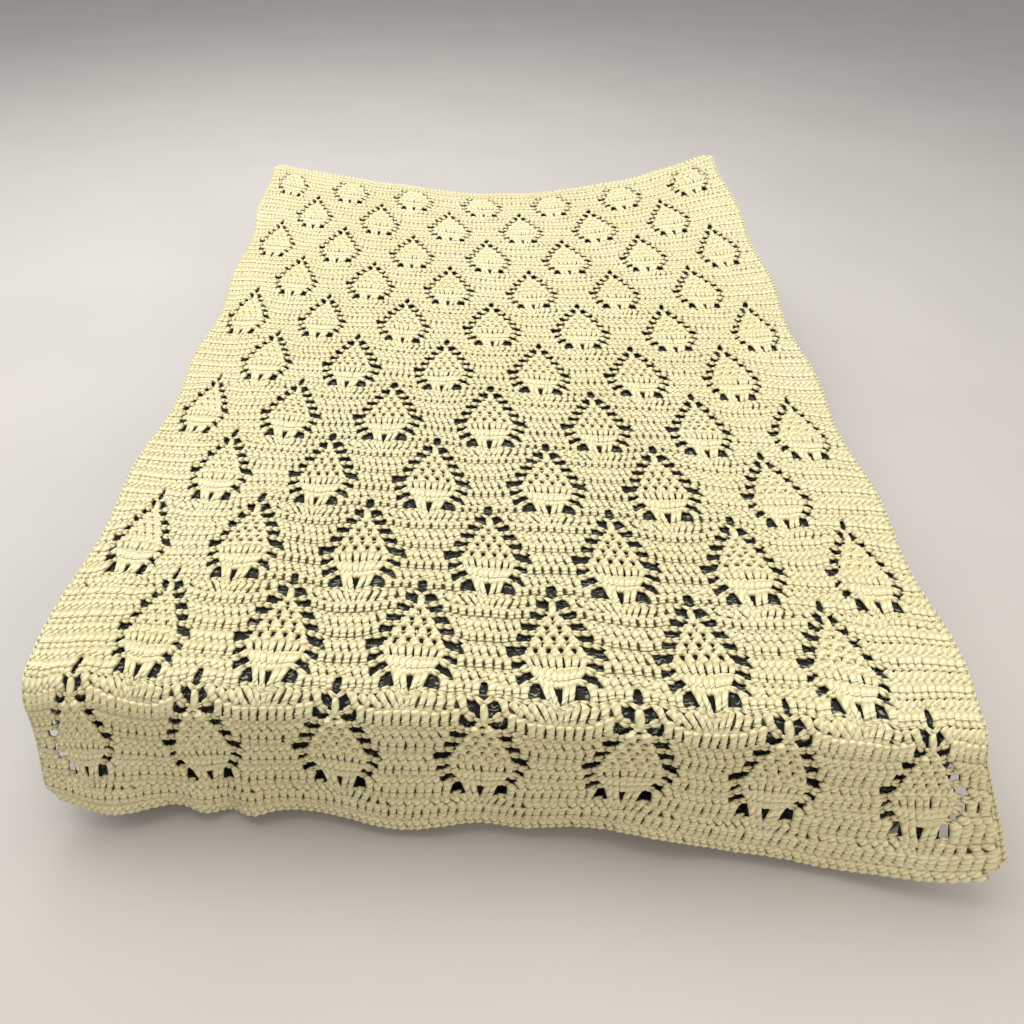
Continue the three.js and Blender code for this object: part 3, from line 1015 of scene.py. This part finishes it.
def realize(piece, tree, values):
    """Gives a piece the tree's result as its own plain mesh."""
    modifier = piece.modifiers.new("Stitches", "NODES")
    modifier.node_group = tree
    for item in tree.interface.items_tree:
        if item.in_out == "INPUT" and item.name in values:
            modifier[item.identifier] = values[item.name]
    mesh = evaluated_mesh(piece)
    piece.modifiers.remove(modifier)
    chart = piece.data
    piece.data = mesh
    bpy.data.meshes.remove(chart)
    mesh.name = piece.name
    for spare in ("spin", "size", "kind"):
        if spare in mesh.attributes:
            mesh.attributes.remove(mesh.attributes[spare])


def bake_in_modifiers(piece):
    """Gives a piece what its modifiers make, and takes them off."""
    mesh = evaluated_mesh(piece)
    piece.modifiers.clear()
    piece.data = mesh


def shader_tree(name):
    """A new material's tree and its main shader."""
    material = bpy.data.materials.new(name)
    material.use_nodes = True
    return material, material.node_tree, material.node_tree.nodes["Principled BSDF"]


def set_inputs(node, values):
    """Sets a node's own sockets."""
    for name, value in values.items():
        node.inputs[name].default_value = value


def colour_mix(tree, factor, first, second):
    """Two colours, each a value or a socket, mixed by a factor."""
    mix = new_node(tree, "ShaderNodeMix", data_type="RGBA")
    tree.links.new(factor, mix.inputs["Factor"])
    for slot, value in ((6, first), (7, second)):
        if isinstance(value, bpy.types.NodeSocket):
            tree.links.new(value, mix.inputs[slot])
        else:
            mix.inputs[slot].default_value = (*value, 1)
    return mix.outputs[2]


def ranged(tree, value, low, high, smooth=True):
    """A value between two bounds, as a share from 0 to 1."""
    node = new_node(tree, "ShaderNodeMapRange", interpolation_type="SMOOTHSTEP" if smooth else "LINEAR")
    tree.links.new(value, node.inputs["Value"])
    set_inputs(node, {"From Min": low, "From Max": high})
    return node.outputs["Result"]


def object_noise(tree, scale, detail):
    """Noise that is fixed to the piece."""
    place = new_node(tree, "ShaderNodeTexCoord")
    noise = new_node(tree, "ShaderNodeTexNoise")
    tree.links.new(place.outputs["Object"], noise.inputs["Vector"])
    set_inputs(noise, {"Scale": scale, "Detail": detail})
    return noise.outputs["Fac"]


def relief(tree, height, strength, distance, under=None):
    """The normals of a height, over those of a coarser relief where there is one."""
    bump = new_node(tree, "ShaderNodeBump")
    set_inputs(bump, {"Strength": strength, "Distance": distance})
    tree.links.new(height, bump.inputs["Height"])
    if under is not None:
        tree.links.new(under, bump.inputs["Normal"])
    return bump.outputs["Normal"]


def named_value(tree, name):
    """A value that the piece's points carry."""
    return new_node(tree, "ShaderNodeAttribute", attribute_name=name).outputs["Fac"]


def yarn_material(yarn):
    """Plied cream yarn: paler and darker stitches, painted shade low between them, plies along each strand
    with painted shade in their grooves.
    """
    material, tree, shader = shader_tree("cream_yarn")
    patches = ranged(tree, object_noise(tree, scale=9.0, detail=3.0), low=0.3, high=0.7)
    base = colour_mix(tree, patches, yarn.colour, yarn.pale_colour)
    tone = ranged(tree, named_value(tree, "tone"), low=-0.6, high=1.6, smooth=False)
    base = colour_mix(tree, tone, yarn.colour, base)
    strand = new_node(tree, "ShaderNodeUVMap", uv_map="strand")
    turns = new_node(tree, "ShaderNodeVectorMath", operation="DOT_PRODUCT")
    tree.links.new(strand.outputs["UV"], turns.inputs[0])
    turns.inputs[1].default_value = (2 * math.pi * PLIES, 2 * math.pi * PLIES, 0)
    plies = new_node(tree, "ShaderNodeMath", operation="SINE")
    tree.links.new(turns.outputs["Value"], plies.inputs[0])
    # Painted shade in the grooves between the plies, where the ply wave is low
    groove_shade = ranged(tree, plies.outputs["Value"], low=-1.0, high=0.1)
    base = colour_mix(tree, groove_shade, yarn.ply_shade_colour, base)
    depth = ranged(tree, named_value(tree, "height"), low=-1.0 * MM, high=2.4 * MM)
    base = colour_mix(tree, depth, yarn.shade_colour, base)
    tree.links.new(base, shader.inputs["Base Color"])
    set_inputs(shader, {
        "Roughness": 0.88, "Sheen Weight": 0.25, "Sheen Roughness": 0.5, "Specular IOR Level": 0.25})
    twist = relief(tree, plies.outputs["Value"], strength=0.65, distance=0.4 * MM)
    fibres = object_noise(tree, scale=1400.0, detail=2.0)
    fuzz = relief(tree, fibres, strength=0.35, distance=0.3 * MM, under=twist)
    tree.links.new(fuzz, shader.inputs["Normal"])
    return material


def ground_shade_material(yarn):
    """The ground of the cloth, seen only between stitches: its colour is painted shade, near black in a
    motif's open loops.
    """
    material, tree, shader = shader_tree("yarn_ground")
    # Painted shade between the stitches, darker in places by noise
    fibres = ranged(tree, object_noise(tree, scale=420.0, detail=3.0), low=0.35, high=0.65)
    darker = tuple(GROUND_DARKER * part for part in yarn.ground_shade_colour)
    base = colour_mix(tree, fibres, darker, yarn.ground_shade_colour)
    # Painted shade, near black inside a motif's open loops
    base = colour_mix(tree, named_value(tree, "cover"), yarn.hollow_shade_colour, base)
    tree.links.new(base, shader.inputs["Base Color"])
    set_inputs(shader, {"Roughness": 0.95, "Specular IOR Level": 0.1})
    return material


def cover_material(look):
    """Dark woven cover with pale slub threads that wander across it."""
    material, tree, shader = shader_tree("flecked_cover")
    place = new_node(tree, "ShaderNodeTexCoord")
    threads = new_node(tree, "ShaderNodeTexWave", wave_type="BANDS", bands_direction="Y", wave_profile="SIN")
    tree.links.new(place.outputs["Object"], threads.inputs["Vector"])
    set_inputs(threads, {"Scale": 75.0, "Distortion": 9.0, "Detail": 2.0, "Detail Scale": 1.6})
    lines = ranged(tree, threads.outputs["Fac"], low=0.62, high=0.95)
    broken = ranged(tree, object_noise(tree, scale=190.0, detail=2.0), low=0.45, high=0.6)
    share = new_node(tree, "ShaderNodeMath", operation="MULTIPLY")
    tree.links.new(lines, share.inputs[0])
    tree.links.new(broken, share.inputs[1])
    colour = colour_mix(tree, share.outputs["Value"], look.cover_colour, look.fleck_colour)
    tree.links.new(colour, shader.inputs["Base Color"])
    set_inputs(shader, {"Roughness": 0.9, "Sheen Weight": 0.1})
    weave = relief(tree, threads.outputs["Fac"], strength=0.5, distance=0.4 * MM)
    tree.links.new(weave, shader.inputs["Normal"])
    return material


def ground_mesh(drape):
    """The cloth's ground: one layer of cells, a stitch wide and a row high, open at every chain space, a dark
    sheet of painted shade between the stitches.
    """
    sizes = drape.sizes
    lines = np.sort(np.concatenate((np.arange(sizes.rows + 1), FOLD_HALF_ROWS)))
    columns = np.arange(-sizes.side_stitch, sizes.side_stitch + 1)
    stitch = np.stack([columns * drape.side(line) / sizes.side_stitch for line in lines])
    bound = np.zeros(stitch.shape, bool)
    cover = np.ones(stitch.shape)
    row = np.empty(stitch.shape)
    opened = np.zeros((len(lines) - 1, len(columns) - 1), bool)
    for strip in range(len(lines) - 1):
        for low, high in row_gaps(int(lines[strip])):
            first = int(np.argmin(np.abs(columns - low)))
            last = max(first + 1, int(np.argmin(np.abs(columns - high))))
            for line in (strip, strip + 1):
                stitch[line, first] = min(low, stitch[line, first]) if bound[line, first] else low
                stitch[line, last] = max(high, stitch[line, last]) if bound[line, last] else high
                bound[line, [first, last]] = True
            opened[strip, first:last] = True
        # Inside each motif the ground takes the near-black painted shade of its open loops
        for axis, half, _ in row_cores(int(lines[strip])):
            cover[strip, np.abs(stitch[strip] - axis) < half + HOLLOW_MARGIN] = 0
    for index, line in enumerate(lines):
        share = line - math.floor(line)
        row[index] = bent_line(int(line), stitch[index])
        if share:
            row[index] += share * (bent_line(int(line) + 1, stitch[index]) - row[index])
    points = drape.cloth(stitch, row).reshape(-1, 3)
    faces = grid_faces(len(lines), len(columns))[~opened]
    mesh = mesh_from("afghan_ground", points, faces)
    # Which painted shade each point takes: 1 the ground's, 0 the near black of a motif's open loops
    shown = mesh.attributes.new("cover", "FLOAT", "POINT")
    shown.data.foreach_set("value", cover.astype(np.float32).ravel())
    return mesh


def rounded_corner(along, half, radius):
    """Where a place past the start of a rounded corner lies inside it, as a share of the corner."""
    return np.maximum(0, (np.abs(along) - (half - radius)) / radius)


def mattress_top(drape, look):
    """Grid of points that follows the cloth from below, its upright corners rounded."""
    sizes = drape.sizes
    pitch, row_height = drape.pitch, sizes.row_height
    half_wide = (sizes.side_stitch - look.side_inset) * pitch
    front, back = sizes.fold_row * row_height, (sizes.rows - look.back_inset) * row_height
    half_long, middle = (back - front) / 2, (back + front) / 2
    wide, long = np.meshgrid(
        np.linspace(-half_wide, half_wide, TOP_COLUMNS), np.linspace(-half_long, half_long, TOP_ROWS))
    over_x = rounded_corner(wide, half_wide, look.corner_radius)
    over_y = rounded_corner(long, half_long, look.corner_radius)
    trim_x = look.corner_radius * over_x * (1 - np.sqrt(1 - over_y ** 2 / 2))
    trim_y = look.corner_radius * over_y * (1 - np.sqrt(1 - over_x ** 2 / 2))
    stitch = (wide - np.sign(wide) * trim_x) / pitch
    row = (long - np.sign(long) * trim_y + middle) / row_height
    top = drape.laid(stitch, row)
    top[..., 2] -= look.clearance + look.rise_clearance * drape.climb(row)
    return top


def wall_rings(look, edge):
    """Rings from the top's edge down the wall and round the foot: how far out each lies, and its heights."""
    for turn in np.radians(TOP_TURNS):
        yield look.top_radius * math.sin(turn), edge[:, 2] - look.top_radius * (1 - math.cos(turn))
    wall_top = edge[:, 2] - look.top_radius
    for share in WALL_SHARES:
        swell = look.wall_bulge * math.sin(math.pi * share)
        swell -= look.seam_depth if share in SEAM_SHARES else 0
        yield look.top_radius + swell, look.foot_radius + share * (wall_top - look.foot_radius)
    for turn in np.radians(FOOT_TURNS):
        out = look.top_radius - look.foot_radius * (1 - math.cos(turn))
        yield out, look.foot_radius * (1 - math.sin(turn))


def mattress_mesh(drape, look):
    """A soft block under the cloth: its top follows the cloth, its walls swell and carry two sewn seams."""
    grid = mattress_top(drape, look)
    deep, across = grid.shape[:2]
    index = np.arange(deep * across).reshape(deep, across)
    cells = grid_faces(deep, across).reshape(-1, 4)
    rim = np.concatenate((index[0, :-1], index[:-1, -1], index[-1, :0:-1], index[:0:-1, 0]))
    top = grid.reshape(-1, 3)
    edge = top[rim]
    run = np.roll(edge, -1, axis=0) - np.roll(edge, 1, axis=0)
    outward = np.stack((run[:, 1], -run[:, 0]), axis=1)
    outward /= np.linalg.norm(outward, axis=1, keepdims=True)
    points, faces = [top], [cells]
    count, before = len(top), rim
    for out, height in wall_rings(look, edge):
        ring = edge.copy()
        ring[:, :2] += outward * out
        ring[:, 2] = height
        points.append(ring)
        here = count + np.arange(len(rim))
        faces.append(np.stack((before, here, np.roll(here, -1), np.roll(before, -1)), axis=1))
        count, before = count + len(rim), here
    foot = top.copy()
    foot[rim] = points[-1]
    foot[:, 2] = 0
    under = count + np.arange(len(foot))
    under[rim] = before
    points.append(foot)
    faces.append(under[cells][:, ::-1])
    mesh = mesh_from("mattress_block", np.concatenate(points), np.concatenate(faces))
    mesh.shade_smooth()
    return mesh


class AFGHAN_OT_mattress(Operator):
    """Make the mattress that the afghan lies on"""

    bl_idname = "afghan.mattress"
    bl_label = "Mattress"

    def execute(self, context):
        scene = context.scene
        mesh = mattress_mesh(Drape(scene.afghan_cloth), scene.afghan_mattress)
        mesh.materials.append(cover_material(scene.afghan_mattress))
        piece = place_object("mattress_block", mesh)
        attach(piece, BODY)
        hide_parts("mattress")
        return {"FINISHED"}


class AFGHAN_OT_stitches(Operator):
    """Crochet the afghan from its chart, in bands from the hem to the far edge"""

    bl_idname = "afghan.stitches"
    bl_label = "Stitches"

    def execute(self, context):
        scene = context.scene
        yarn = scene.afghan_yarn
        drape = Drape(scene.afghan_cloth)
        chart = StitchChart(drape)
        sizes = drape.sizes
        surface = drape_surface(drape)
        row_height = sizes.row_height
        arch = arch_mesh(yarn, LOOP_STITCHES * drape.pitch, ARCH_ROWS * row_height)
        shapes = {
            "Post": place_object("post", post_mesh(yarn, row_height)),
            "Braid": place_object("braid", braid_mesh(yarn, drape.pitch)),
            "Arch": place_object("arch", arch),
            "Knot": place_object("knot", knot_mesh(yarn, KNOT_ROWS * row_height)),
        }
        wide = 2 * (sizes.side_stitch + MARGIN_STITCHES) * drape.pitch
        long = (sizes.rows + 2 * MARGIN_ROWS) * row_height
        values = {
            **shapes,
            "Drape": surface,
            "Chart scale": (1 / wide, 1 / long, 0),
            "Chart start": (0.5, MARGIN_ROWS * row_height / long, 0),
            "Yarn": yarn_material(yarn),
        }
        tree = stitch_tree()
        for number, band in enumerate(chart.bands, 1):
            piece = chart_object(f"afghan_band_{number}", band)
            realize(piece, tree, values)
            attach(piece, BODY)
            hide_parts("afghan")
        for helper in (surface, *shapes.values()):
            bpy.data.objects.remove(helper)
        return {"FINISHED"}


class AFGHAN_OT_ground(Operator):
    """Make the ground of the cloth between its stitches, a dark sheet of painted shade"""

    bl_idname = "afghan.ground"
    bl_label = "Ground"

    def execute(self, context):
        scene = context.scene
        yarn = scene.afghan_yarn
        drape = Drape(scene.afghan_cloth)
        mesh = ground_mesh(drape)
        mesh.materials.append(ground_shade_material(yarn))
        piece = place_object("afghan_ground", mesh)
        thicken = piece.modifiers.new("Thickness", "SOLIDIFY")
        thicken.thickness = yarn.ground_thickness
        thicken.offset = 0
        bake_in_modifiers(piece)
        piece.data.shade_smooth()
        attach(piece, BODY)
        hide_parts("afghan")
        bands = [o for o in scene.objects if o.name.startswith("afghan_band_")]
        return {"FINISHED"}


class AFGHAN_OT_stage(Operator):
    """Set up the floor, the light and the camera"""

    bl_idname = "afghan.stage"
    bl_label = "Stage"

    FLOOR_SIZE = 14.0
    FLOOR_PALER = 1.06
    SKY_COLOUR = (1.0, 0.98, 0.95, 1)
    KEY_SIZE, KEY_PLACE = 2.4, (-0.5, 0.5, 2.2)
    FILL_SIZE, FILL_PLACE = 1.4, (1.2, -2.0, 1.2)
    LIGHT_AIM = (0, 0, 0.1)
    CAMERA_FROM_CLOTH = (-0.0308, -0.2786, 0.7086)
    CAMERA_YAW, CAMERA_PITCH, CAMERA_ROLL = -2.92, 41.83, 0.83
    CAMERA_SHIFT = (0.0710, 0.0101)

    def execute(self, context):
        look = context.scene.afghan_stage
        self.floor(look)
        self.lights(context.scene, look)
        self.camera(context.scene, look)
        return {"FINISHED"}

    def floor(self, look):
        """A wide pale floor."""
        half = self.FLOOR_SIZE / 2
        corners = [(-half, -half, 0), (half, -half, 0), (half, half, 0), (-half, half, 0)]
        mesh = mesh_from("floor", corners, [(0, 1, 2, 3)])
        material, tree, shader = shader_tree("pale_floor")
        stains = ranged(tree, object_noise(tree, scale=3.0, detail=4.0), low=0.2, high=0.8)
        paler = tuple(min(1.0, self.FLOOR_PALER * part) for part in look.floor_colour)
        tree.links.new(colour_mix(tree, stains, look.floor_colour, paler), shader.inputs["Base Color"])
        set_inputs(shader, {"Roughness": 0.8})
        mesh.materials.append(material)
        place_object("floor", mesh)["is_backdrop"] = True

    def lights(self, scene, look):
        """An even sky, a soft light overhead and a weaker one at the front."""
        world = bpy.data.worlds.new("studio")
        world.use_nodes = True
        sky = world.node_tree.nodes["Background"]
        set_inputs(sky, {"Color": self.SKY_COLOUR, "Strength": look.sky_strength})
        scene.world = world
        self.area(scene, "key", look.key_power, look.key_colour, self.KEY_SIZE, self.KEY_PLACE)
        self.area(scene, "fill", look.fill_power, look.fill_colour, self.FILL_SIZE, self.FILL_PLACE)

    def area(self, scene, name, power, colour, size, place):
        """A soft square light that faces the cloth."""
        light = bpy.data.lights.new(name, "AREA")
        light.energy = power
        light.size = size
        light.color = colour
        lamp = bpy.data.objects.new(name, light)
        toward = np.subtract(self.LIGHT_AIM, place)
        lamp.rotation_euler = Vector(toward).to_track_quat("-Z", "Y").to_euler()
        lamp.location = place
        scene.collection.objects.link(lamp)

    def camera(self, scene, look):
        """A camera in front of the cloth that looks down on it."""
        yaw = math.radians(self.CAMERA_YAW)
        pitch = math.radians(self.CAMERA_PITCH)
        roll = math.radians(self.CAMERA_ROLL)
        level = math.cos(pitch)
        forward = np.array((math.sin(yaw) * level, math.cos(yaw) * level, -math.sin(pitch)))
        right = np.array((math.cos(yaw), -math.sin(yaw), 0))
        upward = np.cross(right, forward)
        level_right = math.cos(roll) * right + math.sin(roll) * upward
        level_up = math.cos(roll) * upward - math.sin(roll) * right
        lens = bpy.data.cameras.new("camera")
        lens.sensor_width = 36
        lens.lens = look.lens
        lens.shift_x, lens.shift_y = self.CAMERA_SHIFT
        lens.clip_start = 0.01
        camera = bpy.data.objects.new("camera", lens)
        turn = Matrix((level_right, level_up, -forward)).transposed()
        place = Drape(scene.afghan_cloth).shift + self.CAMERA_FROM_CLOTH
        camera.matrix_world = Matrix.Translation(place) @ turn.to_4x4()
        scene.collection.objects.link(camera)
        scene.camera = camera
        scene.view_settings.view_transform = "Standard"


class AFGHAN_PT_maker(Panel):
    """Steps that make the afghan, and its sizes and colours"""

    bl_label = "Crochet afghan"
    bl_space_type = "VIEW_3D"
    bl_region_type = "UI"
    bl_category = "Afghan"

    def draw(self, context):
        layout = self.layout
        for step in STEPS:
            layout.operator(step.bl_idname)
        for group in GROUPS:
            settings = getattr(context.scene, group)
            box = layout.box()
            for name in settings.__annotations__:
                box.prop(settings, name)


GROUPS = {
    "afghan_cloth": ClothSizes,
    "afghan_yarn": YarnLook,
    "afghan_mattress": MattressLook,
    "afghan_stage": StageLook,
}
STEPS = (AFGHAN_OT_mattress, AFGHAN_OT_stitches, AFGHAN_OT_ground, AFGHAN_OT_stage)


def register():
    """Registers the classes and gives the scene its settings."""
    for group in (*GROUPS.values(), *STEPS, AFGHAN_PT_maker):
        bpy.utils.register_class(group)
    for name, group in GROUPS.items():
        setattr(bpy.types.Scene, name, PointerProperty(type=group))


def unregister():
    """Takes the settings and the classes away again."""
    for name in GROUPS:
        delattr(bpy.types.Scene, name)
    for group in (AFGHAN_PT_maker, *reversed(STEPS), *GROUPS.values()):
        bpy.utils.unregister_class(group)


def main():
    """Makes every piece and the stage, and works out the two boxes."""
    register()
    bpy.ops.afghan.mattress()
    bpy.ops.afghan.stitches()
    bpy.ops.afghan.ground()
    bpy.ops.afghan.stage()
    boxes = {"cad": CAD_BOX, "visual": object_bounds()}
    {name: [list(corner) for corner in box] for name, box in boxes.items()}


if __name__ == "__main__":
    main()
